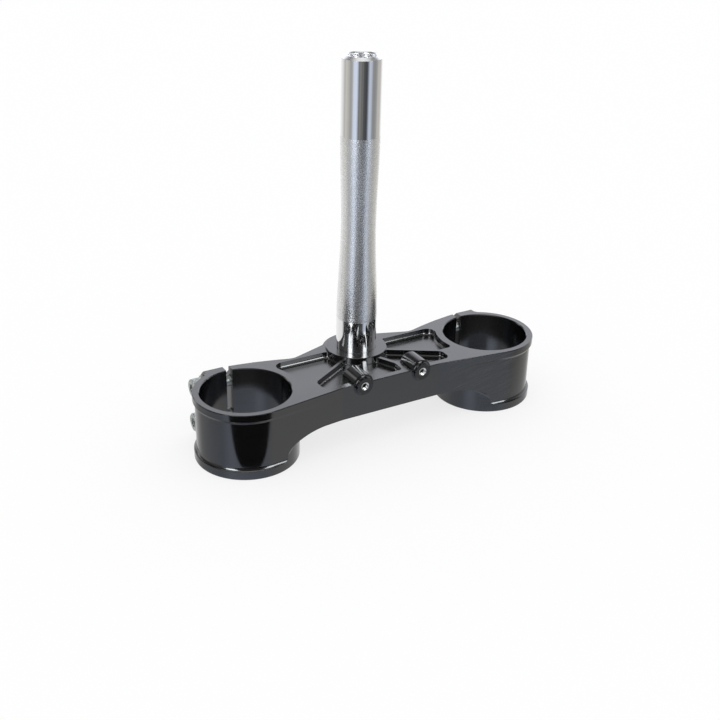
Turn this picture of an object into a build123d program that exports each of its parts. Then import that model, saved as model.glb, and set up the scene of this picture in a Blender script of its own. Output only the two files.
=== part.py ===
from build123d import *
from math import asin, atan2, cos, radians, sin, sqrt
import os

os.makedirs("parts", exist_ok=True)

# Motorcycle lower triple clamp with its pressed-in steering stem, sizes in millimetres.
# The origin is on the steering axis at the seat of the lower bearing. +Z runs up the stem,
# +X from fork to fork and -Y to the front of the motorcycle.

# Forks
fork_spacing = 190.0
steering_offset = 22.0
fork_bore = 60.0
bore_chamfer = 0.6

# Clamp rings: a band at the top, a lip at the bottom and a relieved wall between them
clamp_height = 47.0
band_wall = 4.7
band_height = 4.7
band_slope = 2.4
lip_wall = 5.0
lip_height = 5.6
relief_wall = 3.2
relief_fillet = 2.4
relief_end = 4.0
edge_chamfer = 0.4

# Bridge between the rings
bridge_front = 49.5
bridge_flat = 38.0
bridge_thickness = 24.2
arch_flat = 50.0
arch_drop_share = 0.884
arch_fillet = 3.5
hollow_x = 47.3
hollow_y = 4.9
hollow_radius = 12.0
hollow_outer_angle = 17.5
hollow_inner_angle = 18.5
skirt_width = 2.0
skirt_fillet = 7.0

# Pinch slots, ears and bolts
slot_width = 4.2
slot_shift = 1.8
ear_rear = 20.8
ear_slope = 6.3
ear_reach = 14.0
spotface_depth = 0.5
ear_blend = 5.0
inner_ear_length = 18.0
inner_ear_slope = 9.6
inner_ear_corner = 10.0
bolt_behind_bore = 1.5
bolt_spacing = 26.0
bolt_diameter = 8.0
bolt_length = 35.0
bolt_tip = 1.0
bolt_head_diameter = 13.0
bolt_head_height = 8.0
bolt_head_chamfer = 0.6
bolt_key = 6.0
bolt_key_depth = 4.0
bolt_hole_gap = 0.25
thread_gap = 0.05
washer_diameter = 15.0
washer_thickness = 1.6
washer_gap = 0.3

# Bearing boss and the pockets in the top face
boss_diameter = 43.0
boss_height = 1.3
boss_chamfer = 0.3
pocket_under_boss = 0.3
rear_pocket_depth = 4.5
rear_pocket_floor_fillet = 2.0
rear_pocket_edge = 2.2
rear_pocket_corner = 6.0
rear_pocket_web = 5.7
front_pocket_depth = 4.0
front_pocket_floor_fillet = 1.2
front_pocket_end = 49.6
front_pocket_end_radius = 4.5
front_rim = 4.5
pocket_corner = 3.0
rib_corner_radius = 2.0
rib_width = 2.0
rib_start_x = 18.0
rib_start_y = 13.0
rib_end_x = 49.2
rib_angle = 30.7
centre_pocket_inner_half = 4.1
centre_pocket_outer_half = 10.8
centre_pocket_angle = 63.4
centre_rib_width = 2.6

# Number plate pegs on the front edge
peg_spacing = 45.0
peg_diameter = 13.0
peg_length = 16.7
peg_drop = 1.6
peg_edge = 0.6
peg_foot = 1.0
peg_face = 1.0
peg_face_diameter = 12.6
peg_groove_width = 5.0
peg_groove_clearance = 1.0
peg_groove_turn = 264.0
peg_hole_depth = 13.0
insert_diameter = 6.6
insert_bore = 5.1
insert_length = 10.0
insert_sink = 0.3
insert_chamfer = 0.3

# Steering stem
lower_seat_diameter = 28.0
lower_seat_length = 20.0
waist_diameter = 23.4
waist_height = 90.0
upper_seat_diameter = 26.0
upper_seat_height = 150.0
stem_height = 200.6
stem_bore = 17.0
stem_thread_bore = 18.5
stem_thread_depth = 26.0
stem_mouth_chamfer = 0.7
stem_shoulder_width = 2.6
stem_shoulder_height = 1.7
stem_flange_diameter = 36.0
stem_flange_height = 4.0
stem_press_diameter = 29.4
stem_press_top = 0.7
stem_fit = 0.02

# Fender screw holes under the bridge
fender_spacing_x = 64.0
fender_spacing_y = 34.0
fender_centre_y = -21.0
fender_hole_diameter = 5.0
fender_hole_depth = 12.0

# How far a cutter reaches past what it cuts
cutter_reach = 10.0

# Places worked out from the sizes
top_z = -boss_height
bottom_z = top_z - clamp_height
underside_z = top_z - bridge_thickness
middle_z = (top_z + bottom_z) / 2
fork_x = fork_spacing / 2
fork_y = -steering_offset
fork_centre = (fork_x, fork_y)
bore_radius = fork_bore / 2
band_radius = bore_radius + band_wall
lip_radius = bore_radius + lip_wall
relief_radius = bore_radius + relief_wall
boss_radius = boss_diameter / 2
pocket_root_radius = boss_radius - pocket_under_boss
bore_rear = fork_y + bore_radius
slot_x = fork_x - slot_shift
ear_x = slot_x + slot_width / 2 + ear_reach
seat_x = ear_x - spotface_depth
inner_ear_x = slot_x - slot_width / 2 - inner_ear_length
bolt_y = bore_rear + bolt_diameter / 2 + bolt_behind_bore
bolt_heights = {"upper": middle_z + bolt_spacing / 2, "lower": middle_z - bolt_spacing / 2}
sides = {"left": -1, "right": 1}
peg_x = peg_spacing / 2
peg_radius = peg_diameter / 2
peg_face_radius = peg_face_diameter / 2
peg_z = top_z - peg_drop
flat_end = (bridge_flat, -bridge_front)


def touch_point(start, centre, radius):
    """Where a line from start touches the front of a circle."""
    run = centre[0] - start[0]
    rise = centre[1] - start[1]
    distance = sqrt(run * run + rise * rise)
    angle = atan2(rise, run) - asin(radius / distance)
    reach = sqrt(distance * distance - radius * radius)
    return (start[0] + reach * cos(angle), start[1] + reach * sin(angle))


def meet_circle(start, angle, radius):
    """Where a line from start, at an angle in degrees, first meets a circle round the stem."""
    along = start[0] * cos(radians(angle)) + start[1] * sin(radians(angle))
    outside = start[0] ** 2 + start[1] ** 2 - radius ** 2
    step = -along - sqrt(along * along - outside)
    return (start[0] + step * cos(radians(angle)), start[1] + step * sin(radians(angle)))


# The front face leaves its flat middle along a line that touches each ring.
band_touch = touch_point(flat_end, fork_centre, band_radius)
relief_touch = touch_point(flat_end, fork_centre, relief_radius)

# The rear edge runs from each ear into a hollow beside the stem, then round the stem.
hollow_centre = (hollow_x, hollow_y + hollow_radius)
hollow_start = (
    hollow_centre[0] + hollow_radius * sin(radians(hollow_outer_angle)),
    hollow_centre[1] - hollow_radius * cos(radians(hollow_outer_angle)),
)
hollow_end = (
    hollow_centre[0] - hollow_radius * sin(radians(hollow_inner_angle)),
    hollow_centre[1] - hollow_radius * cos(radians(hollow_inner_angle)),
)
hollow_slope = (cos(radians(hollow_outer_angle)), sin(radians(hollow_outer_angle)))
ear_corner = (slot_x, ear_rear - ear_slope)
skirt_radius = boss_radius + skirt_width
skirt_start = meet_circle(hollow_end, 180 - hollow_inner_angle, skirt_radius)
skirt_angle = (atan2(skirt_start[1], skirt_start[0]) + radians(90)) / 2
skirt_middle = (skirt_radius * cos(skirt_angle), skirt_radius * sin(skirt_angle))

# The arch has dropped by its share of the height below the bridge where the front face touches the ring.
arch_drop = arch_drop_share * (clamp_height - bridge_thickness)
arch_run = relief_touch[0] - arch_flat
arch_radius = (arch_run ** 2 + arch_drop ** 2) / (2 * arch_drop)
arch_end = (arch_flat + arch_radius, underside_z - arch_radius)

# Right half of the bridge
with BuildPart() as bridge:
    with BuildSketch(Plane.XY.offset(bottom_z)) as bridge_plan:
        with BuildLine():
            Polyline((0, skirt_radius), (0, -bridge_front), flat_end, band_touch, fork_centre)
            Line(fork_centre, ear_corner)
            TangentArc(hollow_start, ear_corner, tangent=hollow_slope)
            ThreePointArc(hollow_start, (hollow_x, hollow_y), hollow_end)
            Line(hollow_end, skirt_start)
            ThreePointArc(skirt_start, skirt_middle, (0, skirt_radius))
        make_face()
        fillet(bridge_plan.vertices().sort_by_distance((*skirt_start, 0))[0], skirt_fillet)
    extrude(amount=clamp_height)
    top_rim = bridge.edges().group_by(Axis.Z)[-1].filter_by(lambda e: e.center().X > edge_chamfer)
    chamfer(top_rim.sort_by_distance(Vector(*fork_centre, top_z))[2:], edge_chamfer)
    # The arch leaves the middle thin and drops towards the ring.
    with BuildSketch(Plane.XZ):
        with BuildLine():
            Line((-cutter_reach, underside_z), (arch_flat, underside_z))
            RadiusArc((arch_flat, underside_z), arch_end, arch_radius)
            Polyline(arch_end, (-cutter_reach, arch_end[1]), (-cutter_reach, underside_z))
        make_face()
    extrude(amount=bridge_front + fork_spacing, both=True, mode=Mode.SUBTRACT)

# Ring round the right fork, with the two ears of its clamp
with BuildPart() as ring:
    with BuildSketch(Plane.XY.offset(bottom_z)):
        with Locations(fork_centre):
            Circle(lip_radius)
    extrude(amount=clamp_height - band_height)
    chamfer(ring.edges().group_by(Axis.Z)[0], edge_chamfer)
    with BuildSketch(Plane.XY.offset(top_z)) as ring_plan:
        with Locations(fork_centre):
            Circle(band_radius)
        with Locations((slot_x, fork_y)):
            Rectangle(ear_x - slot_x, ear_rear - fork_y, align=(Align.MIN, Align.MIN))
        corner_y = fork_y + sqrt(band_radius ** 2 - (ear_x - fork_x) ** 2)
        fillet(ring_plan.vertices().sort_by_distance((ear_x, corner_y, 0))[0], ear_blend)
    extrude(amount=-clamp_height)
    chamfer(ring.edges().group_by(Axis.Z)[-1], edge_chamfer)
    with BuildSketch(Plane.XY.offset(bottom_z)) as inner_ear_plan:
        with Locations((slot_x, fork_y)):
            Rectangle(slot_x - inner_ear_x, ear_rear - fork_y, align=(Align.MAX, Align.MIN))
        inner_corner = inner_ear_plan.vertices().sort_by_distance((inner_ear_x, ear_rear, 0))[0]
        chamfer(inner_corner, inner_ear_corner)
    extrude(amount=clamp_height)
    for level in (top_z, bottom_z):
        inward = middle_z - level
        for from_x, to_x, slope in (
            (inner_ear_x - cutter_reach, slot_x, inner_ear_slope),
            (slot_x, ear_x + lip_radius, ear_slope),
        ):
            with BuildSketch(Plane.YZ.offset(from_x)):
                with BuildLine():
                    Polyline(
                        (ear_rear - slope, level),
                        (ear_rear + slope, level),
                        (ear_rear + slope, level + 2 * slope * inward / abs(inward)),
                        close=True,
                    )
                make_face()
            extrude(amount=to_x - from_x, mode=Mode.SUBTRACT)

# Relief in the outer wall of the ring and the front face. It ends at the flat of the front face.
with BuildPart() as relief:
    beyond = fork_x + lip_radius + cutter_reach
    with BuildSketch(Plane.XY.offset(bottom_z + lip_height)):
        with BuildLine():
            Polyline(
                (bridge_flat, -bridge_front - lip_radius),
                (beyond, -bridge_front - lip_radius),
                (beyond, relief_end),
                (fork_x, relief_end),
                fork_centre,
                relief_touch,
                flat_end,
                close=True,
            )
        make_face()
        with Locations(fork_centre):
            Circle(relief_radius, mode=Mode.SUBTRACT)
    extrude(amount=clamp_height - lip_height - band_height)
    wall_middle = ((flat_end[0] + relief_touch[0]) / 2, (flat_end[1] + relief_touch[1]) / 2)
    relief_top = relief.faces().sort_by(Axis.Z)[-1]
    upper_edges = relief.edges().group_by(Axis.Z)[-1]
    upper_front = upper_edges.sort_by_distance((*wall_middle, 0))[:1]
    chamfer(
        upper_edges.filter_by(GeomType.CIRCLE) + upper_front,
        band_wall - relief_wall,
        band_slope,
        reference=relief_top,
    )
    lower_edges = relief.edges().group_by(Axis.Z)[0]
    lower_front = lower_edges.sort_by_distance((*wall_middle, 0))[:1]
    fillet(lower_edges.filter_by(GeomType.CIRCLE) + lower_front, relief_fillet)

# Rear pocket, between the rear edge and the slanting rib
rib_run = (cos(radians(rib_angle)), -sin(radians(rib_angle)))
rib_rise = rib_run[1] / rib_run[0]
rib_end_y = -rib_start_y + (rib_end_x - rib_start_x) * rib_rise
rib_root = (rib_start_x / 2, -rib_start_y - rib_start_x / 2 * rib_rise)
with BuildPart() as rear_pocket:
    with BuildSketch(Plane.XY.offset(top_z)) as rear_plan:
        with BuildLine():
            Polyline(
                rib_root,
                (rib_end_x, rib_end_y),
                (fork_x, rib_end_y),
                (fork_x, rear_pocket_edge),
                (rib_root[0], rear_pocket_edge),
                close=True,
            )
        make_face()
        with Locations(fork_centre):
            Circle(bore_radius + rear_pocket_web, mode=Mode.SUBTRACT)
        Circle(pocket_root_radius, mode=Mode.SUBTRACT)
        web_corner = (fork_x - bore_radius, rear_pocket_edge, 0)
        fillet(rear_plan.vertices().sort_by_distance(web_corner)[0], rear_pocket_corner)
        rib_corner = rear_plan.vertices().sort_by_distance((rib_end_x, rib_end_y, 0))[0]
        fillet(rib_corner, rear_pocket_corner)
        boss_corners = rear_plan.vertices().sort_by(Axis.X)[:2]
        web_end = rear_plan.vertices().sort_by(Axis.Y)[:3].sort_by(Axis.X)[-1:]
        fillet(boss_corners + web_end, pocket_corner)
    extrude(amount=-rear_pocket_depth)
    fillet(rear_pocket.edges().group_by(Axis.Z)[0], rear_pocket_floor_fillet)

# Front pocket, between the slanting rib, the rib beside the middle pocket and the front rim
rib_front_root = (rib_root[0], rib_root[1] - rib_width / rib_run[0])
rib_front_end = (front_pocket_end, rib_front_root[1] + (front_pocket_end - rib_root[0]) * rib_rise)
centre_run = (cos(radians(centre_pocket_angle)), -sin(radians(centre_pocket_angle)))
centre_start_y = -sqrt(boss_radius ** 2 - centre_pocket_inner_half ** 2)
rim_y = -bridge_front + front_rim
centre_shift = centre_rib_width / sin(radians(centre_pocket_angle))
centre_slant = -centre_run[0] / centre_run[1]
centre_rim_x = centre_pocket_inner_half + (centre_start_y - rim_y) * centre_slant + centre_shift
centre_root = (
    centre_pocket_inner_half + centre_shift - centre_run[0] * boss_radius / 2,
    centre_start_y - centre_run[1] * boss_radius / 2,
)
with BuildPart() as front_pocket:
    with BuildSketch(Plane.XY.offset(top_z)) as front_plan:
        with BuildLine():
            Polyline(
                centre_root,
                (centre_rim_x, rim_y),
                (front_pocket_end, rim_y),
                rib_front_end,
                rib_front_root,
                close=True,
            )
        make_face()
        Circle(pocket_root_radius, mode=Mode.SUBTRACT)
        fillet(front_plan.vertices().group_by(Axis.X)[-1], front_pocket_end_radius)
        fillet(front_plan.vertices().sort_by_distance((centre_rim_x, rim_y, 0))[0], pocket_corner)
        fillet(front_plan.vertices().sort_by_distance((0, 0, 0))[:2], rib_corner_radius)
    extrude(amount=-front_pocket_depth)
    fillet(front_pocket.edges().group_by(Axis.Z)[0], front_pocket_floor_fillet)

# Middle pocket, across both halves
with BuildPart() as centre_pocket:
    with BuildSketch(Plane.XY.offset(top_z)) as centre_plan:
        widening = (centre_pocket_outer_half - centre_pocket_inner_half) / centre_slant
        pocket_root_y = centre_start_y + centre_pocket_inner_half / 2 / centre_slant
        with BuildLine():
            Polyline(
                (centre_pocket_inner_half / 2, pocket_root_y),
                (centre_pocket_outer_half, centre_start_y - widening),
                (centre_pocket_outer_half, rim_y),
                (-centre_pocket_outer_half, rim_y),
                (-centre_pocket_outer_half, centre_start_y - widening),
                (-centre_pocket_inner_half / 2, pocket_root_y),
                close=True,
            )
        make_face()
        Circle(pocket_root_radius, mode=Mode.SUBTRACT)
        fillet(centre_plan.vertices().sort_by(Axis.Y)[:4], pocket_corner)
        fillet(centre_plan.vertices().sort_by_distance((0, 0, 0))[:2], rib_corner_radius)
    extrude(amount=-front_pocket_depth)
    fillet(centre_pocket.edges().group_by(Axis.Z)[0], front_pocket_floor_fillet)

# Peg on the front edge: a cylinder along Y with straight flanks down to the pocket floor
with BuildPart() as peg:
    with BuildSketch(Plane.XZ.offset(bridge_front)):
        with Locations((peg_x, peg_z)):
            Circle(peg_radius)
            Rectangle(peg_diameter, front_pocket_depth + peg_foot - peg_drop, align=(Align.CENTER, Align.MAX))
    extrude(amount=-peg_length)
    chamfer(peg.edges().group_by(Axis.Y)[-1].filter_by(GeomType.CIRCLE), peg_edge)

# Half-round groove behind the face of the peg, open to the front round the face
groove_dip = radians((peg_groove_turn - 180) / 2)
groove_plane = Plane(
    origin=(peg_x, -bridge_front, peg_z),
    x_dir=(0, 1, 0),
    z_dir=(-sin(groove_dip), 0, cos(groove_dip)),
)
groove_end = peg_face + peg_groove_width
with BuildPart() as groove:
    with BuildSketch(groove_plane):
        with BuildLine():
            Polyline(
                (peg_face, peg_face_radius),
                (-peg_face, peg_face_radius),
                (-peg_face, peg_radius + peg_groove_clearance),
                (groove_end, peg_radius + peg_groove_clearance),
                (groove_end, peg_radius),
            )
            ThreePointArc(
                (groove_end, peg_radius),
                (peg_face + peg_groove_width / 2, peg_radius - peg_groove_width / 2),
                (peg_face, peg_face_radius),
            )
        make_face()
    revolve(axis=Axis((peg_x, 0, peg_z), (0, 1, 0)), revolution_arc=peg_groove_turn)

# Right half of the clamp
with BuildPart() as half:
    add(bridge.part)
    add(ring.part)
    add(relief.part, mode=Mode.SUBTRACT)
    # Blend where the arch runs into the ring
    fillet(half.edges().filter_by(GeomType.BSPLINE).sort_by(Edge.length)[-1], arch_fillet)
    add(rear_pocket.part, mode=Mode.SUBTRACT)
    add(front_pocket.part, mode=Mode.SUBTRACT)
    add(peg.part)
    add(groove.part, mode=Mode.SUBTRACT)
    # Threaded hole of the peg
    with Locations(Plane(origin=(peg_x, -bridge_front, peg_z), z_dir=(0, -1, 0))):
        Hole(insert_diameter / 2 + thread_gap, peg_hole_depth)
    mouth = half.edges().filter_by(GeomType.CIRCLE).group_by(Axis.Y)[0].sort_by(Edge.length)[0]
    chamfer(mouth, insert_sink)
    # Fork bore, with a lead-in at each end
    with BuildSketch(Plane(origin=(fork_x, fork_y, middle_z), x_dir=(1, 0, 0), z_dir=(0, -1, 0))):
        with BuildLine():
            Polyline(
                (0, clamp_height / 2),
                (bore_radius + bore_chamfer, clamp_height / 2),
                (bore_radius, clamp_height / 2 - bore_chamfer),
                (bore_radius, bore_chamfer - clamp_height / 2),
                (bore_radius + bore_chamfer, -clamp_height / 2),
                (0, -clamp_height / 2),
                close=True,
            )
        make_face()
    revolve(axis=Axis((fork_x, fork_y, 0), (0, 0, 1)), mode=Mode.SUBTRACT)
    # Pinch slot
    with BuildSketch(Plane.XY.offset(bottom_z)):
        with Locations((slot_x, fork_y)):
            Rectangle(slot_width, ear_rear - fork_y, align=(Align.CENTER, Align.MIN))
    extrude(amount=clamp_height, mode=Mode.SUBTRACT)
    # Bolt holes: tapped in the inner ear, clear in the outer one, with a seat for the washer
    for height in bolt_heights.values():
        with BuildSketch(Plane.YZ.offset(slot_x)):
            with Locations((bolt_y, height)):
                Circle(bolt_diameter / 2 + thread_gap)
        extrude(amount=inner_ear_x - slot_x, mode=Mode.SUBTRACT)
        with BuildSketch(Plane.YZ.offset(slot_x)):
            with Locations((bolt_y, height)):
                Circle(bolt_diameter / 2 + bolt_hole_gap)
        extrude(amount=seat_x - slot_x, mode=Mode.SUBTRACT)
        with BuildSketch(Plane.YZ.offset(seat_x)):
            with Locations((bolt_y, height)):
                Circle(washer_diameter / 2 + washer_gap)
        extrude(amount=lip_radius, mode=Mode.SUBTRACT)

# Bearing boss round the stem
with BuildPart() as boss:
    with BuildSketch():
        Circle(boss_radius)
    extrude(amount=top_z - bridge_thickness / 2)
    chamfer(boss.edges().group_by(Axis.Z)[-1], boss_chamfer)

# Clamp body, one piece
left_half = mirror(half.part, about=Plane.YZ)
with BuildPart() as lower_clamp:
    add(half.part, clean=False)
    add(left_half, clean=False)
    add(centre_pocket.part, mode=Mode.SUBTRACT, clean=False)
    add(boss.part, clean=False)
    # Stem bore, with a counterbore under the bridge for the flange of the stem
    hole_radius = stem_press_diameter / 2 + stem_fit
    counterbore_radius = stem_flange_diameter / 2 + stem_fit
    counterbore_z = underside_z + stem_flange_height
    with BuildSketch(Plane.XZ):
        with BuildLine():
            Polyline(
                (0, 0),
                (hole_radius + stem_mouth_chamfer, 0),
                (hole_radius, -stem_mouth_chamfer),
                (hole_radius, counterbore_z),
                (counterbore_radius, counterbore_z),
                (counterbore_radius, underside_z),
                (0, underside_z),
                close=True,
            )
        make_face()
    revolve(axis=Axis.Z, mode=Mode.SUBTRACT, clean=False)
    # Fender screw holes
    with BuildSketch(Plane.XY.offset(underside_z)):
        with Locations((0, fender_centre_y)):
            with GridLocations(fender_spacing_x, fender_spacing_y, 2, 2):
                Circle(fender_hole_diameter / 2)
    extrude(amount=fender_hole_depth, mode=Mode.SUBTRACT, clean=False)
lower_clamp.part.label = "lower_clamp"
export_step(lower_clamp.part, "parts/lower_clamp.step")

# Steering stem, turned from one bar: two bearing seats with a smooth waist between them
seat_radius = lower_seat_diameter / 2
press_radius = stem_press_diameter / 2
waist_radius = waist_diameter / 2
upper_radius = upper_seat_diameter / 2
thread_radius = stem_thread_bore / 2
stem_bottom_z = underside_z
with BuildPart() as steering_stem:
    with BuildSketch(Plane.XZ):
        with BuildLine():
            Polyline(
                (stem_bore / 2, stem_bottom_z),
                (stem_flange_diameter / 2, stem_bottom_z),
                (stem_flange_diameter / 2, stem_bottom_z + stem_flange_height),
                (press_radius, stem_bottom_z + stem_flange_height),
                (press_radius, -stem_press_top),
                (seat_radius, -stem_press_top),
                (seat_radius, lower_seat_length),
            )
            Spline(
                (seat_radius, lower_seat_length),
                (waist_radius, waist_height),
                (upper_radius, upper_seat_height),
                tangents=((0, 1), (0, 1), (0, 1)),
            )
            Polyline(
                (upper_radius, upper_seat_height),
                (upper_radius, stem_height - stem_shoulder_height),
                (upper_radius - stem_shoulder_width, stem_height),
                (thread_radius + stem_mouth_chamfer, stem_height),
                (thread_radius, stem_height - stem_mouth_chamfer),
                (thread_radius, stem_height - stem_thread_depth),
                (stem_bore / 2, stem_height - stem_thread_depth - stem_mouth_chamfer),
                (stem_bore / 2, stem_bottom_z),
            )
        make_face()
    revolve(axis=Axis.Z)
steering_stem.part.label = "steering_stem"
export_step(steering_stem.part, "parts/steering_stem.step")

for side, sign in sides.items():
    for level, height in bolt_heights.items():
        # Washer on its seat outside the ring
        with BuildPart() as washer:
            with BuildSketch(Plane(origin=(sign * seat_x, bolt_y, height), z_dir=(sign, 0, 0))):
                Circle(washer_diameter / 2)
                Circle(bolt_diameter / 2 + bolt_hole_gap, mode=Mode.SUBTRACT)
            extrude(amount=washer_thickness)
        washer.part.label = f"pinch_washer_{side}_{level}"
        export_step(washer.part, f"parts/pinch_washer_{side}_{level}.step")

        # Socket head screw through the outer ear into the inner one
        head_x = seat_x + washer_thickness
        with BuildPart() as bolt:
            with BuildSketch(Plane(origin=(sign * head_x, bolt_y, height), z_dir=(sign, 0, 0))):
                Circle(bolt_head_diameter / 2)
            extrude(amount=bolt_head_height)
            head_end = bolt.faces().sort_by(Axis.X)[-1 if sign > 0 else 0]
            chamfer(head_end.edges(), bolt_head_chamfer)
            with BuildSketch(head_end):
                RegularPolygon(bolt_key / 2, 6, major_radius=False)
            extrude(amount=-bolt_key_depth, mode=Mode.SUBTRACT)
            with BuildSketch(Plane(origin=(sign * head_x, bolt_y, height), z_dir=(-sign, 0, 0))):
                Circle(bolt_diameter / 2)
            extrude(amount=bolt_length)
            tip = bolt.faces().sort_by(Axis.X)[0 if sign > 0 else -1]
            chamfer(tip.edges(), bolt_tip)
        bolt.part.label = f"pinch_bolt_{side}_{level}"
        export_step(bolt.part, f"parts/pinch_bolt_{side}_{level}.step")

    # Threaded insert in the mouth of the peg
    with BuildPart() as insert:
        mouth = Plane(origin=(sign * peg_x, -bridge_front + insert_sink, peg_z), z_dir=(0, 1, 0))
        with BuildSketch(mouth):
            Circle(insert_diameter / 2)
            Circle(insert_bore / 2, mode=Mode.SUBTRACT)
        extrude(amount=insert_length)
        chamfer(insert.edges().group_by(Axis.Y)[0].sort_by(Edge.length)[0], insert_chamfer)
    insert.part.label = f"peg_insert_{side}"
    export_step(insert.part, f"parts/peg_insert_{side}.step")
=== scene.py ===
"""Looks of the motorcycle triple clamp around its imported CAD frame. All sizes are in metres."""

from math import cos, pi, radians, sin

import bpy
from mathutils import Matrix, Vector


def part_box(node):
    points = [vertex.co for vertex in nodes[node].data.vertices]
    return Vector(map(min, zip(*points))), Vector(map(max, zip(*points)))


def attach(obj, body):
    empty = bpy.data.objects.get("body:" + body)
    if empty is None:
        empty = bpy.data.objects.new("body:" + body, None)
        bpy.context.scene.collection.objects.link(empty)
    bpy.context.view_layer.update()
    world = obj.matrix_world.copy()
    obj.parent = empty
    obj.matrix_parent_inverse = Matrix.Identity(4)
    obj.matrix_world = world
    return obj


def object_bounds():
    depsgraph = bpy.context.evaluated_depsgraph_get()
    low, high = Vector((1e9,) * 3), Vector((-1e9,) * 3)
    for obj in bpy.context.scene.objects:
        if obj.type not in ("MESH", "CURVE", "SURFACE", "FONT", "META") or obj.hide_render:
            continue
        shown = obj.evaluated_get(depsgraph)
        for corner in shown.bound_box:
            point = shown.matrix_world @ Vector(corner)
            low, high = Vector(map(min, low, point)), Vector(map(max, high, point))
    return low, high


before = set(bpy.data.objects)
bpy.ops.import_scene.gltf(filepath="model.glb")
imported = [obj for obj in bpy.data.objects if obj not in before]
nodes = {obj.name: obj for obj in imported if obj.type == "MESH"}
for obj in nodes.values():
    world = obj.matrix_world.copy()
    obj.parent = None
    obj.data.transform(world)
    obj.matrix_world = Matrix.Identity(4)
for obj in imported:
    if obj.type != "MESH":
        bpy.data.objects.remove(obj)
cad_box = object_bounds()

# Camera: where the photo was taken from, in degrees and metres
CAMERA_AZIMUTH = -30.61
CAMERA_ELEVATION = 26.85
CAMERA_ROLL = 1.34
CAMERA_DISTANCE = 0.78604
CAMERA_TARGET = Vector((0.00364, 0.0, -0.01282))
CAMERA_LENS = 55.47
SENSOR_WIDTH = 36

# Tool marks: how much a noise is stretched along each axis to become lines or streaks
LATHE_LINES = (60, 60, 3200)
LATHE_STREAKS = (30, 30, 420)
MILL_LINES = (2600, 140, 200)
CUTTER_LINES = (38, 38, 420)
STEM_LINES = (150, 150, 3400)

# Cutter's strokes on the front of the right ring: their slant in degrees, and where they fade in and out
CUTTER_SLANT = 14
STROKES_LEFT_END = (0.040, 0.052)
STROKES_RIGHT_END = (0.104, 0.092)
STROKES_DEPTH = (-0.047, -0.050)
STROKES_UPRIGHT = (0.05, 0.02)

# Black skin: refractive index and a factor on the roughness, of the milled clamp and of the turned pegs
CLAMP_INDEX = 1.92
CLAMP_ROUGHNESS = 1.0
PEG_INDEX = 1.62
PEG_ROUGHNESS = 0.7

# Surfaces of the stem, as heights above the lower bearing seat. The rim and the bore are duller.
LOWER_POLISH_TOP = 0.0228
UPPER_POLISH_BOTTOM = 0.150
LOWER_POLISH_BLUR = 0.0002
UPPER_POLISH_BLUR = 0.0004
RIM_BELOW_TOP = (0.0020, 0.0016)
BORE_SURFACE = (0.0100, 0.0096)

# Pegs on the front edge: their axis, the front face behind them and the sizes of their parts
PEG_X = 0.0225
PEG_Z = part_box("peg_insert_left")[0].z / 2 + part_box("peg_insert_left")[1].z / 2
FRONT_FACE_Y = -0.0495
PEG_RADIUS = 0.0077
PEG_CHAMFER = 0.0003
PEG_BACK_Y = -0.0340
NOSE_RADIUS = 0.0061
NOSE_LENGTH = 0.0025
NOSE_CHAMFER = 0.0004
NOSE_FILLET = 0.0012
FILLET_STEPS = 8
FACE_OVERLAP = 0.00005

# Straight flanks under the round top of a peg: how deep they are, where they start and how square they are
PEG_FLANK = 0.0026
FLANK_START = (0.0010, 0.0012)
FLANK_SQUARENESS = 2.2

# Rounded rear edge of a peg, as (distance to the back, drop of the surface) pairs
PEG_BACK_EDGE = ((0.0009, 0.0), (0.0007, 0.0), (0.0002, 0.00035), (0.0, 0.0009))

# Mouth of a thread insert in the nose of a peg
INSERT_RADIUS = 0.0028
INSERT_BORE = 0.0022
INSERT_GAP = 0.00006
INSERT_TURNS = 6
INSERT_THREAD_DEPTH = 0.00025
INSERT_MOUTH = 0.0003
INSERT_OVERLAP = 0.0002
MOUTH_CHAMFER = 0.0002

# Pinch screws: where their axes are, and the pitch, ridges and radii of their surface
low_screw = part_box("pinch_bolt_right_lower")
high_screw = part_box("pinch_bolt_right_upper")
BOLT_Y = (low_screw[0].y + low_screw[1].y) / 2
BOLT_LOW_Z = (low_screw[0].z + low_screw[1].z) / 2
BOLT_HIGH_Z = (high_screw[0].z + high_screw[1].z) / 2
BOLT_MIDDLE_Z = (BOLT_LOW_Z + BOLT_HIGH_Z) / 2
BOLT_SPACING = BOLT_HIGH_Z - BOLT_LOW_Z
THREAD_OF_BOLT = 0.00125
HEAD_RIDGES = 40
SHANK_SURFACE = (0.0045, 0.0042)
HEAD_SURFACE = (0.0060, 0.0064)

# Ring that closes the joint between the stem and the boss
STEM_SEAT_RADIUS = 0.014
BOSS_MOUTH_RADIUS = 0.0154
LIP_DEPTH = 0.0006
LIP_GAP = 0.00003
LIP_EDGE_DEPTH = 0.0002
LIP_EDGE_WIDTH = 0.00022

# Thread in the mouth of the stem. Its ends fade out over a few points.
STEM_TOP = 0.2006
THREAD_RADIUS = 0.00925
THREAD_DEPTH = 0.0004
THREAD_PITCH = 0.001
THREAD_TURNS = 20
THREAD_START = 0.0013
THREAD_ROOT_OVERLAP = 0.00006
THREAD_CREST_OFFSET = 0.00004
THREAD_ROOT_HALF = 0.47
THREAD_CREST_HALF = 0.08
POINTS_PER_TURN = 60
FADE_POINTS = 20

# Studio: directions of the two strip lights round the steering axis, in degrees
LEFT_STRIP = -152
RIGHT_STRIP = -67
STRIP_DISTANCE = 1.3
STRIP_WIDTH = 0.42
STRIP_HEIGHT = 0.95
STRIP_ELEVATION = 27
STRIP_COLOUR = (0.93, 0.97, 1.0)
LEFT_RADIANCE = 9.0
RIGHT_RADIANCE = 7.0

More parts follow.
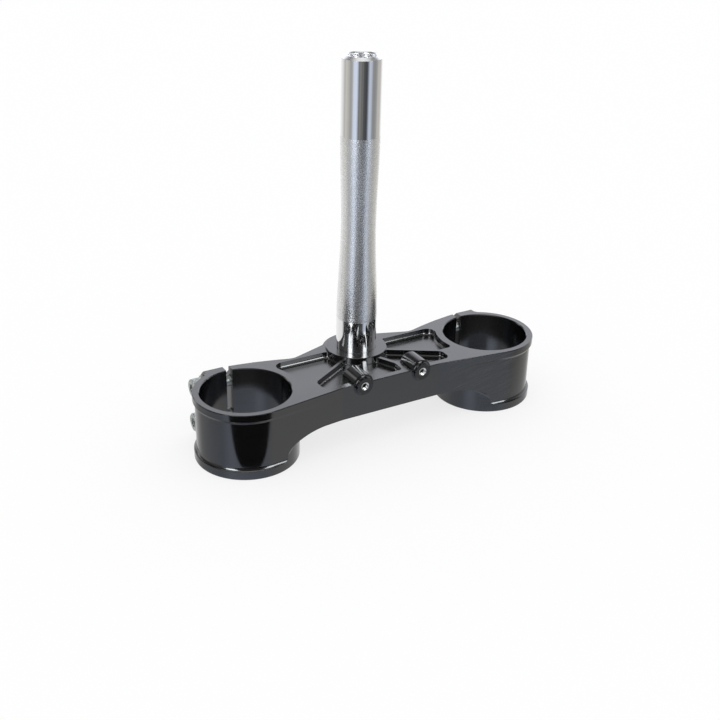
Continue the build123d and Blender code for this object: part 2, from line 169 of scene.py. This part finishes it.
# Studio: tints, and the elevations in degrees between which one row of cards goes over into the next
COOL = (0.86, 0.95, 1.12)
WARM = (1.02, 1.0, 0.93)
BACKDROP_WHITE = (1.45 * 0.985, 1.45, 1.45 * 1.08, 1)
DEEP_ROW_TOP = (-27.4, -26.4)
LOWER_ROW_TOP = (-23, -15)
BACKDROP_TOP = (33, 42)
CEILING_START = (60, 66)
HORIZON = (-0.06, 0.06)

# Floor: half its side, and how much of its white the camera sees whatever shadow lies on it
FLOOR_HALF = 12
FLOOR_ALBEDO = 0.97
FLOOR_GLOW = 0.75

# Black card on the table: its height above the floor and its corners
FLAG_LIFT = 0.0005
FLAG_CORNERS = (
    (-0.1197, -0.0607),
    (-0.2166, -0.0962),
    (-0.1850, -0.1480),
    (-0.1375, -0.1700),
    (-0.0700, -0.1700),
    (-0.0326, -0.1483),
    (-0.1000, -0.0662),
)


def set_camera():
    """Puts the camera where the photo was taken from."""
    azimuth = radians(CAMERA_AZIMUTH)
    elevation = radians(CAMERA_ELEVATION)
    roll = radians(CAMERA_ROLL)
    back = Vector((sin(azimuth) * cos(elevation), -cos(azimuth) * cos(elevation), sin(elevation)))
    level = Vector((cos(azimuth), sin(azimuth), 0))
    up = back.cross(level)
    right = level * cos(roll) + up * sin(roll)
    top = up * cos(roll) - level * sin(roll)
    data = bpy.data.cameras.new("photo_camera")
    data.sensor_width = SENSOR_WIDTH
    data.lens = CAMERA_LENS
    data.clip_start = 0.01
    data.clip_end = 50
    camera = bpy.data.objects.new("photo_camera", data)
    bpy.context.scene.collection.objects.link(camera)
    turn = Matrix((right, top, back)).transposed()
    camera.matrix_world = Matrix.Translation(CAMERA_TARGET + back * CAMERA_DISTANCE) @ turn.to_4x4()
    bpy.context.scene.camera = camera


class Nodes:
    """A short way to write a material's or the world's nodes."""

    def __init__(self, tree):
        self.tree = tree
        tree.nodes.clear()

    def add(self, kind, inputs=None, **settings):
        node = self.tree.nodes.new(kind)
        for name, value in settings.items():
            setattr(node, name, value)
        for name, value in (inputs or {}).items():
            self.feed(node.inputs[name], value)
        return node

    def feed(self, socket, value):
        if isinstance(value, bpy.types.NodeSocket):
            self.tree.links.new(value, socket)
        else:
            socket.default_value = value

    def math(self, operation, first, second=0.0, clamp=False):
        node = self.add("ShaderNodeMath", operation=operation, use_clamp=clamp)
        self.feed(node.inputs[0], first)
        self.feed(node.inputs[1], second)
        return node.outputs[0]

    def step(self, value, low, high):
        """0 below low, 1 above high and smooth between them."""
        node = self.add("ShaderNodeMapRange", {"Value": value}, interpolation_type="SMOOTHSTEP")
        node.inputs["From Min"].default_value = low
        node.inputs["From Max"].default_value = high
        return node.outputs["Result"]

    def rise(self, height, elevations):
        """0 below the first elevation and 1 above the second, from the height of a direction."""
        low, high = elevations
        return self.step(height, sin(radians(low)), sin(radians(high)))

    def mix(self, factor, first, second):
        node = self.add("ShaderNodeMix", data_type="RGBA")
        self.feed(node.inputs[0], factor)
        self.feed(node.inputs[6], first)
        self.feed(node.inputs[7], second)
        return node.outputs[2]

    def mix_number(self, factor, first, second):
        node = self.add("ShaderNodeMix", data_type="FLOAT")
        self.feed(node.inputs[0], factor)
        self.feed(node.inputs[2], first)
        self.feed(node.inputs[3], second)
        return node.outputs[0]

    def ramp(self, factor, stops):
        """Colour ramp from (place, colour) pairs."""
        node = self.add("ShaderNodeValToRGB", {"Fac": factor})
        elements = node.color_ramp.elements
        elements[0].position, elements[0].color = stops[0][0], stops[0][1]
        elements[1].position, elements[1].color = stops[-1][0], stops[-1][1]
        for place, colour in stops[1:-1]:
            elements.new(place).color = colour
        return node.outputs["Color"]

    def noise(self, vector, scale, detail=2.0, roughness=0.5):
        node = self.add("ShaderNodeTexNoise", {"Vector": vector})
        node.inputs["Scale"].default_value = scale
        node.inputs["Detail"].default_value = detail
        node.inputs["Roughness"].default_value = roughness
        return node.outputs["Fac"]

    def stretched(self, vector, scale):
        node = self.add("ShaderNodeMapping", {"Vector": vector})
        node.inputs["Scale"].default_value = scale
        return node.outputs["Vector"]

    def bump(self, height, strength, distance, normal=None):
        node = self.add("ShaderNodeBump", {"Height": height})
        node.inputs["Strength"].default_value = strength
        node.inputs["Distance"].default_value = distance
        if normal is not None:
            self.feed(node.inputs["Normal"], normal)
        return node.outputs["Normal"]


def grey(value, tint=(1, 1, 1)):
    return (value * tint[0], value * tint[1], value * tint[2], 1)


def at(azimuth):
    """Place on the azimuth ramp, which starts and ends straight behind the object."""
    return ((azimuth + 270) % 360) / 360


def make_world():
    """Even white light for every matt surface. The shiny ones mirror a white backdrop and grey cards."""
    world = bpy.data.worlds.new("studio")
    world.use_nodes = True
    bpy.context.scene.world = world
    n = Nodes(world.node_tree)
    direction = n.add("ShaderNodeTexCoord").outputs["Generated"]
    turned = n.add("ShaderNodeMapping", {"Vector": direction})
    turned.inputs["Rotation"].default_value = (0, 0, radians(90))
    azimuth = n.add(
        "ShaderNodeTexGradient", {"Vector": turned.outputs["Vector"]}, gradient_type="RADIAL"
    ).outputs["Fac"]
    height = n.add("ShaderNodeSeparateXYZ", {"Vector": direction}).outputs["Z"]
    upper_row = [
        (0.0, grey(0.95)),
        (at(120), grey(0.72)),
        (at(134), grey(0.46, WARM)),
        (at(147), grey(0.58, WARM)),
        (at(168), grey(0.44, WARM)),
        (at(178), grey(0.34)),
        (at(-172), grey(0.40)),
        (at(-163), grey(0.74, COOL)),
        (at(-146), grey(0.78, COOL)),
        (at(-139), grey(0.48, COOL)),
        (at(-134), grey(0.16)),
        (at(-128), grey(0.22)),
        (at(-122), grey(0.21, WARM)),
        (at(-117), grey(0.14)),
        (at(-111), grey(0.17)),
        (at(-106), grey(0.09)),
        (at(-89), grey(0.06, COOL)),
        (at(-84), grey(0.16, COOL)),
        (at(-77), grey(0.48, COOL)),
        (at(-72), grey(0.62, COOL)),
        (at(-60), grey(0.52, COOL)),
        (at(-54), grey(0.29)),
        (at(-40), grey(0.26)),
        (at(-24), grey(0.34)),
        (at(-15), grey(0.50, WARM)),
        (at(7), grey(0.52, WARM)),
        (at(21), grey(0.74)),
        (at(39), grey(1.0)),
        (1.0, grey(0.95)),
    ]
    lower_row = [
        (0.0, grey(0.92)),
        (at(150), grey(0.80)),
        (at(160), grey(0.45)),
        (at(170), grey(0.36)),
        (at(-172), grey(0.36)),
        (at(-165), grey(0.62, COOL)),
        (at(-158), grey(0.90, COOL)),
        (at(-147), grey(0.95, COOL)),
        (at(-139), grey(0.60, COOL)),
        (at(-134), grey(0.08)),
        (at(-110), grey(0.05)),
        (at(-88), grey(0.05)),
        (at(-82), grey(0.30, COOL)),
        (at(-76), grey(0.56, COOL)),
        (at(-57), grey(0.48, COOL)),
        (at(-48), grey(0.34)),
        (at(-35), grey(0.42, WARM)),
        (at(-10), grey(0.55, WARM)),
        (at(15), grey(0.60, WARM)),
        (at(34), grey(0.96)),
        (1.0, grey(0.92)),
    ]
    deep_row = [
        (0.0, grey(0.85)),
        (at(100), grey(0.80)),
        (at(125), grey(0.50)),
        (at(-170), grey(0.52, COOL)),
        (at(-150), grey(0.74, COOL)),
        (at(-75), grey(0.60, COOL)),
        (at(-55), grey(0.58)),
        (at(-30), grey(0.62)),
        (at(0), grey(0.62)),
        (at(30), grey(0.85)),
        (1.0, grey(0.85)),
    ]
    middle = n.mix(n.rise(height, LOWER_ROW_TOP), n.ramp(azimuth, lower_row), n.ramp(azimuth, upper_row))
    below = n.mix(n.rise(height, DEEP_ROW_TOP), n.ramp(azimuth, deep_row), middle)
    backdrop = [
        (0.0, BACKDROP_WHITE),
        (at(96), BACKDROP_WHITE),
        (at(104), grey(0.30)),
        (at(114), grey(0.25)),
        (at(117), grey(1.5)),
        (at(124), grey(1.5)),
        (at(127), grey(0.20)),
        (at(160), grey(0.20)),
        (at(175), grey(0.30)),
        (at(-160), grey(0.10)),
        (at(-60), grey(0.10)),
        (at(-20), grey(0.50)),
        (at(15), BACKDROP_WHITE),
        (1.0, BACKDROP_WHITE),
    ]
    above = n.mix(n.rise(height, BACKDROP_TOP), n.ramp(azimuth, backdrop), grey(0.05))
    above = n.mix(n.rise(height, CEILING_START), above, grey(1.0))
    seen = n.mix(n.step(height, *HORIZON), below, above)
    lights = n.add("ShaderNodeBackground", {"Color": seen})
    plain = n.add("ShaderNodeBackground", {"Color": grey(1.0)})
    rays = n.add("ShaderNodeLightPath").outputs
    direct = n.math("MAXIMUM", rays["Is Camera Ray"], rays["Is Diffuse Ray"])
    mixed = n.add("ShaderNodeMixShader", {0: direct, 1: lights.outputs[0], 2: plain.outputs[0]})
    n.add("ShaderNodeOutputWorld", {"Surface": mixed.outputs[0]})


def add_softbox(name, azimuth, radiance):
    """An upright strip light that faces the object from the given direction and only shiny surfaces show."""
    data = bpy.data.lights.new(name, "AREA")
    data.shape = "RECTANGLE"
    data.size = STRIP_WIDTH
    data.size_y = STRIP_HEIGHT
    data.energy = radiance * pi * STRIP_WIDTH * STRIP_HEIGHT
    data.color = STRIP_COLOUR
    lamp = bpy.data.objects.new(name, data)
    bpy.context.scene.collection.objects.link(lamp)
    a = radians(azimuth)
    e = radians(STRIP_ELEVATION)
    away = Vector((cos(a) * cos(e), sin(a) * cos(e), sin(e)))
    lamp.location = away * STRIP_DISTANCE
    lamp.rotation_mode = "QUATERNION"
    lamp.rotation_quaternion = away.to_track_quat("Z", "Y")
    lamp.visible_diffuse = False


def flat_sheet(name, corners, material):
    """A flat stage piece, which isn't part of the object."""
    mesh = bpy.data.meshes.new(name)
    mesh.from_pydata(corners, [], [tuple(range(len(corners)))])
    mesh.materials.append(material)
    sheet = bpy.data.objects.new(name, mesh)
    bpy.context.scene.collection.objects.link(sheet)
    return sheet


def make_floor():
    """A plain pale floor under the rings. It takes the object's shadow."""
    material = bpy.data.materials.new("pale_floor")
    material.use_nodes = True
    n = Nodes(material.node_tree)
    surface = n.add("ShaderNodeBsdfPrincipled", {"Base Color": grey(FLOOR_ALBEDO), "Roughness": 1.0})
    surface.inputs["Specular IOR Level"].default_value = 0.0
    glow = n.add("ShaderNodeEmission", {"Color": grey(1.0), "Strength": 1.0})
    camera_ray = n.add("ShaderNodeLightPath").outputs["Is Camera Ray"]
    share = n.math("MULTIPLY", camera_ray, FLOOR_GLOW)
    mixed = n.add("ShaderNodeMixShader", {0: share, 1: surface.outputs[0], 2: glow.outputs[0]})
    n.add("ShaderNodeOutputMaterial", {"Surface": mixed.outputs[0]})
    z = cad_box[0].z
    corners = [(x * FLOOR_HALF, y * FLOOR_HALF, z) for x, y in ((-1, -1), (1, -1), (1, 1), (-1, 1))]
    floor = flat_sheet("floor", corners, material)
    floor.visible_glossy = False


def make_flag():
    """A black card on the table by the left ring, seen only as the dark patch that the ring mirrors."""
    material = bpy.data.materials.new("black_card")
    material.use_nodes = True
    n = Nodes(material.node_tree)
    surface = n.add("ShaderNodeBsdfDiffuse", {"Color": grey(0.01)})
    n.add("ShaderNodeOutputMaterial", {"Surface": surface.outputs[0]})
    z = cad_box[0].z + FLAG_LIFT
    flag = flat_sheet("flag", [(x, y, z) for x, y in FLAG_CORNERS], material)
    flag.visible_camera = False
    flag.visible_diffuse = False
    flag.visible_shadow = False


def make_black_anodised(name, index, smoother):
    """Machined aluminium under a black anodised skin: turning lines on the walls, mill marks on the flats."""
    material = bpy.data.materials.new(name)
    material.use_nodes = True
    n = Nodes(material.node_tree)
    place = n.add("ShaderNodeTexCoord").outputs["Object"]
    normal = n.add("ShaderNodeNewGeometry").outputs["Normal"]
    facing = n.math("ABSOLUTE", n.add("ShaderNodeSeparateXYZ", {"Vector": normal}).outputs["Z"])
    flat = n.step(facing, 0.5, 0.95)
    lines = n.noise(n.stretched(place, LATHE_LINES), 1.0, 3.0, 0.6)
    streaks = n.noise(n.stretched(place, LATHE_STREAKS), 1.0, 3.0, 0.55)
    mill = n.noise(n.stretched(place, MILL_LINES), 1.0, 2.0, 0.5)
    grain = n.noise(place, 5200, 2.0, 0.6)
    cloud = n.noise(place, 46, 3.0, 0.6)
    colour = n.mix(cloud, grey(0.0030, (1, 0.98, 1.05)), grey(0.0048, (1, 0.99, 1.04)))
    wall_roughness = n.mix_number(streaks, 0.09 * smoother, 0.19 * smoother)
    flat_roughness = n.mix_number(cloud, 0.20 * smoother, 0.27 * smoother)
    roughness = n.mix_number(flat, wall_roughness, flat_roughness)
    slanted = n.add("ShaderNodeMapping", {"Vector": place})
    slanted.inputs["Rotation"].default_value = (0, radians(CUTTER_SLANT), 0)
    cutter = n.noise(n.stretched(slanted.outputs["Vector"], CUTTER_LINES), 1.0, 4.0, 0.65)
    parts = n.add("ShaderNodeSeparateXYZ", {"Vector": place}).outputs
    strokes = n.step(cutter, 0.42, 0.66)
    for value, ends in (
        (parts["X"], STROKES_LEFT_END),
        (parts["X"], STROKES_RIGHT_END),
        (parts["Y"], STROKES_DEPTH),
        (facing, STROKES_UPRIGHT),
    ):
        strokes = n.math("MULTIPLY", strokes, n.step(value, *ends))
    surface = n.add(
        "ShaderNodeBsdfPrincipled",
        {
            "Base Color": n.mix(strokes, colour, grey(0.015, (0.96, 1.0, 1.06))),
            "Roughness": n.mix_number(strokes, roughness, 0.34),
            "IOR": index,
        },
    )
    lined = n.mix_number(flat, n.math("ADD", lines, streaks), mill)
    textured = n.bump(lined, 0.12, 0.00006)
    n.feed(surface.inputs["Normal"], n.bump(grain, 0.10, 0.00003, textured))
    n.add("ShaderNodeOutputMaterial", {"Surface": surface.outputs[0]})
    return material


def make_stem_aluminium():
    """Turned aluminium: polished at the bearing seats, frosted by the tool between them."""
    material = bpy.data.materials.new("turned_aluminium")
    material.use_nodes = True
    n = Nodes(material.node_tree)
    place = n.add("ShaderNodeTexCoord").outputs["Object"]
    height = n.add("ShaderNodeSeparateXYZ", {"Vector": place}).outputs["Z"]
    above_lower = n.step(height, LOWER_POLISH_TOP - LOWER_POLISH_BLUR, LOWER_POLISH_TOP + LOWER_POLISH_BLUR)
    below_upper = n.step(
        height, UPPER_POLISH_BOTTOM + UPPER_POLISH_BLUR, UPPER_POLISH_BOTTOM - UPPER_POLISH_BLUR
    )
    frosted = n.math("MULTIPLY", above_lower, below_upper)
    level = n.add("ShaderNodeVectorMath", {0: place, 1: (1, 1, 0)}, operation="MULTIPLY").outputs[0]
    radius = n.add("ShaderNodeVectorMath", {0: level}, operation="LENGTH").outputs["Value"]
    rim = n.step(height, *(STEM_TOP - below for below in RIM_BELOW_TOP))
    inside = n.step(radius, *BORE_SURFACE)
    turned = n.noise(n.stretched(place, STEM_LINES), 1.0, 2.0, 0.6)
    sparkle = n.noise(n.stretched(place, (1, 1, 0.8)), 1350, 1.0, 0.6)
    speckle = n.math("MULTIPLY", n.step(sparkle, 0.36, 0.64), frosted)
    cloud = n.noise(place, 90, 3.0, 0.6)
    base = n.mix(cloud, grey(0.86, (1, 1, 1.01)), grey(0.93, (1, 1, 1.01)))
    dulled = n.mix(frosted, base, grey(0.80))
    polish = n.mix_number(turned, 0.05, 0.12)
    plain = n.mix_number(n.math("MAXIMUM", rim, inside), polish, 0.34)
    surface = n.add(
        "ShaderNodeBsdfPrincipled",
        {
            "Base Color": n.mix(speckle, dulled, grey(0.98)),
            "Roughness": n.mix_number(frosted, plain, n.mix_number(sparkle, 0.34, 0.20)),
            "Metallic": 1.0,
        },
    )
    textured = n.bump(turned, 0.06, 0.00004)
    rough = n.add("ShaderNodeBump", {"Height": sparkle, "Normal": textured, "Strength": frosted})
    rough.inputs["Distance"].default_value = 0.00012
    n.feed(surface.inputs["Normal"], rough.outputs["Normal"])
    n.add("ShaderNodeOutputMaterial", {"Surface": surface.outputs[0]})
    return material


def make_zinc_steel():
    """Dull zinc plating on the pinch screws and their washers: a thread on the shank, a knurl on the head."""
    material = bpy.data.materials.new("zinc_steel")
    material.use_nodes = True
    n = Nodes(material.node_tree)
    place = n.add("ShaderNodeTexCoord").outputs["Object"]
    parts = n.add("ShaderNodeSeparateXYZ", {"Vector": place}).outputs
    outward = n.math("SUBTRACT", parts["Y"], BOLT_Y)
    from_middle = n.math("ABSOLUTE", n.math("SUBTRACT", parts["Z"], BOLT_MIDDLE_Z))
    upward = n.math("SUBTRACT", from_middle, BOLT_SPACING / 2)
    square = n.math("ADD", n.math("MULTIPLY", outward, outward), n.math("MULTIPLY", upward, upward))
    radius = n.math("SQRT", square)
    angle = n.math("ARCTAN2", upward, outward)
    shank = n.step(radius, *SHANK_SURFACE)
    head = n.step(radius, *HEAD_SURFACE)
    thread = n.math("SINE", n.math("MULTIPLY", parts["X"], 2 * pi / THREAD_OF_BOLT))
    knurl = n.math("SINE", n.math("MULTIPLY", angle, HEAD_RIDGES))
    cloud = n.noise(place, 620, 4.0, 0.7)
    grain = n.noise(place, 4200, 2.0, 0.6)
    dark_patch = grey(0.34, (0.96, 1.03, 0.98))
    light_patch = grey(0.66, (0.98, 1.01, 0.98))
    surface = n.add(
        "ShaderNodeBsdfPrincipled",
        {
            "Base Color": n.mix(n.step(cloud, 0.35, 0.65), dark_patch, light_patch),
            "Roughness": n.mix_number(cloud, 0.30, 0.48),
            "Metallic": 1.0,
        },
    )
    ridges = n.math("ADD", n.math("MULTIPLY", thread, shank), n.math("MULTIPLY", knurl, head))
    textured = n.bump(ridges, 0.5, 0.00018)
    n.feed(surface.inputs["Normal"], n.bump(grain, 0.2, 0.00006, textured))
    n.add("ShaderNodeOutputMaterial", {"Surface": surface.outputs[0]})
    return material


def make_insert_steel():
    """Bright drawn wire of the thread inserts."""
    material = bpy.data.materials.new("insert_steel")
    material.use_nodes = True
    n = Nodes(material.node_tree)
    place = n.add("ShaderNodeTexCoord").outputs["Object"]
    cloud = n.noise(place, 900, 3.0, 0.6)
    surface = n.add(
        "ShaderNodeBsdfPrincipled",
        {
            "Base Color": n.mix(cloud, grey(0.80, (1, 0.99, 0.97)), grey(0.92, (1, 0.99, 0.97))),
            "Roughness": n.mix_number(cloud, 0.14, 0.26),
            "Metallic": 1.0,
        },
    )
    n.feed(surface.inputs["Normal"], n.bump(cloud, 0.08, 0.00004))
    n.add("ShaderNodeOutputMaterial", {"Surface": surface.outputs[0]})
    return material


def new_piece(name, points, faces, material, sharp=35):
    """A new piece on the clamp's body, smooth except at edges sharper than the given angle."""
    mesh = bpy.data.meshes.new(name)
    mesh.from_pydata(points, [], faces)
    mesh.materials.append(material)
    mesh.shade_smooth()
    mesh.set_sharp_from_angle(angle=radians(sharp))
    piece = bpy.data.objects.new(name, mesh)
    bpy.context.scene.collection.objects.link(piece)
    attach(piece, "root")


def closed_rings(count, rings):
    """Faces between neighbouring rings of points, and from the last ring back to the first."""
    faces = []
    for i in range(rings):
        after = (i + 1) % rings
        for k in range(count):
            right = (k + 1) % count
            faces.append((i * count + k, i * count + right, after * count + right, after * count + k))
    return faces


def turned_ring(name, axis_point, along_y, profile, material, count=64):
    """Turns a closed profile of (place on the axis, radius) pairs round Y or Z.

    Pairs with a third value have straight flanks down to that depth instead of a round lower half.
    """
    points = []
    for stop in profile:
        place, radius = stop[0], stop[1]
        for k in range(count):
            angle = 2 * pi * k / count
            across = cos(angle)
            up = sin(angle)
            if len(stop) > 2 and up < 0:
                across = max(-1.0, min(1.0, FLANK_SQUARENESS * across))
                up = max(-1.0, FLANK_SQUARENESS * up) * stop[2] / radius
            if along_y:
                points.append((axis_point[0] + across * radius, place, axis_point[2] + up * radius))
            else:
                points.append((axis_point[0] - across * radius, axis_point[1] + up * radius, place))
    new_piece(name, points, closed_rings(count, len(profile)), material)


def make_peg(side, sign, black, insert):
    """Round nose of a peg with its root fillet, the body behind it and the mouth of its thread insert."""
    axis = (sign * PEG_X, 0, PEG_Z)
    front = FRONT_FACE_Y - NOSE_LENGTH
    mouth = front + MOUTH_CHAMFER
    face = FRONT_FACE_Y - FACE_OVERLAP
    outline = [
        (front, INSERT_RADIUS + MOUTH_CHAMFER),
        (front, NOSE_RADIUS - NOSE_CHAMFER),
        (front + NOSE_CHAMFER, NOSE_RADIUS),
    ]
    for step in range(FILLET_STEPS + 1):
        turn = radians(90 * step / FILLET_STEPS)
        outline.append(
            (face - NOSE_FILLET + NOSE_FILLET * sin(turn), NOSE_RADIUS + NOSE_FILLET * (1 - cos(turn)))
        )
    outline += [
        (face, PEG_RADIUS - PEG_CHAMFER),
        (face + PEG_CHAMFER, PEG_RADIUS),
        (face + FLANK_START[0], PEG_RADIUS),
        (face + FLANK_START[1], PEG_RADIUS, PEG_FLANK),
    ]
    outline += [(PEG_BACK_Y - ahead, PEG_RADIUS - drop, PEG_FLANK) for ahead, drop in PEG_BACK_EDGE]
    outline += [(PEG_BACK_Y, INSERT_RADIUS + INSERT_GAP), (mouth, INSERT_RADIUS + INSERT_GAP)]
    turned_ring(f"peg_{side}", axis, True, outline, black)
    thread = [(mouth, INSERT_RADIUS), (FRONT_FACE_Y + INSERT_OVERLAP, INSERT_RADIUS)]
    pitch = (NOSE_LENGTH - MOUTH_CHAMFER) / INSERT_TURNS
    for turn in range(INSERT_TURNS, 0, -1):
        valley = mouth + turn * pitch
        thread.append((valley, INSERT_BORE + INSERT_THREAD_DEPTH))
        thread.append((valley - pitch / 2, INSERT_BORE))
    thread.append((mouth, INSERT_BORE + INSERT_MOUTH))
    turned_ring(f"insert_mouth_{side}", axis, True, thread, insert, 48)


def make_boss_lip(black):
    """Thin ring that closes the lead-in round the foot of the stem, flush with the boss."""
    profile = [
        (-LIP_DEPTH, STEM_SEAT_RADIUS + LIP_GAP),
        (-LIP_DEPTH, BOSS_MOUTH_RADIUS - LIP_DEPTH),
        (-LIP_GAP, BOSS_MOUTH_RADIUS),
        (-LIP_GAP, STEM_SEAT_RADIUS + LIP_EDGE_WIDTH),
        (-LIP_EDGE_DEPTH, STEM_SEAT_RADIUS + LIP_GAP),
    ]
    turned_ring("boss_lip", (0, 0, 0), False, profile, black, 96)


def make_stem_thread(metal):
    """Screw thread inside the mouth of the stem, one closed ridge."""
    total = POINTS_PER_TURN * THREAD_TURNS
    root = THREAD_RADIUS + THREAD_ROOT_OVERLAP
    points = []
    faces = []
    for k in range(total + 1):
        angle = 2 * pi * k / POINTS_PER_TURN
        middle = STEM_TOP - THREAD_START - THREAD_PITCH * k / POINTS_PER_TURN
        fade = min(1.0, k / FADE_POINTS, (total - k) / FADE_POINTS)
        crest = THREAD_RADIUS + THREAD_CREST_OFFSET - THREAD_DEPTH * fade
        for radius, lift in (
            (root, THREAD_ROOT_HALF),
            (crest, THREAD_CREST_HALF),
            (crest, -THREAD_CREST_HALF),
            (root, -THREAD_ROOT_HALF),
        ):
            points.append((radius * cos(angle), radius * sin(angle), middle + lift * THREAD_PITCH))
    for k in range(total):
        for side in range(4):
            other = (side + 1) % 4
            faces.append((4 * k + side, 4 * k + other, 4 * k + 4 + other, 4 * k + 4 + side))
    faces.append((3, 2, 1, 0))
    faces.append(tuple(4 * total + side for side in range(4)))
    new_piece("stem_thread", points, faces, metal, 60)


def dress(name, material):
    """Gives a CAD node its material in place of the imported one."""
    mesh = nodes[name].data
    mesh.materials.clear()
    mesh.materials.append(material)


set_camera()
make_world()
make_floor()
make_flag()
add_softbox("left_strip", LEFT_STRIP, LEFT_RADIANCE)
add_softbox("right_strip", RIGHT_STRIP, RIGHT_RADIANCE)

black = make_black_anodised("black_anodised", CLAMP_INDEX, CLAMP_ROUGHNESS)
turned_black = make_black_anodised("turned_black", PEG_INDEX, PEG_ROUGHNESS)
aluminium = make_stem_aluminium()
zinc = make_zinc_steel()
insert = make_insert_steel()
for name in nodes:
    if name == "lower_clamp":
        dress(name, black)
    elif name == "steering_stem":
        dress(name, aluminium)
    elif name.startswith("peg_insert"):
        dress(name, insert)
    else:
        dress(name, zinc)

for side, sign in (("left", -1), ("right", 1)):
    make_peg(side, sign, turned_black, insert)
make_boss_lip(black)
make_stem_thread(aluminium)

bpy.context.scene.view_settings.view_transform = "Standard"
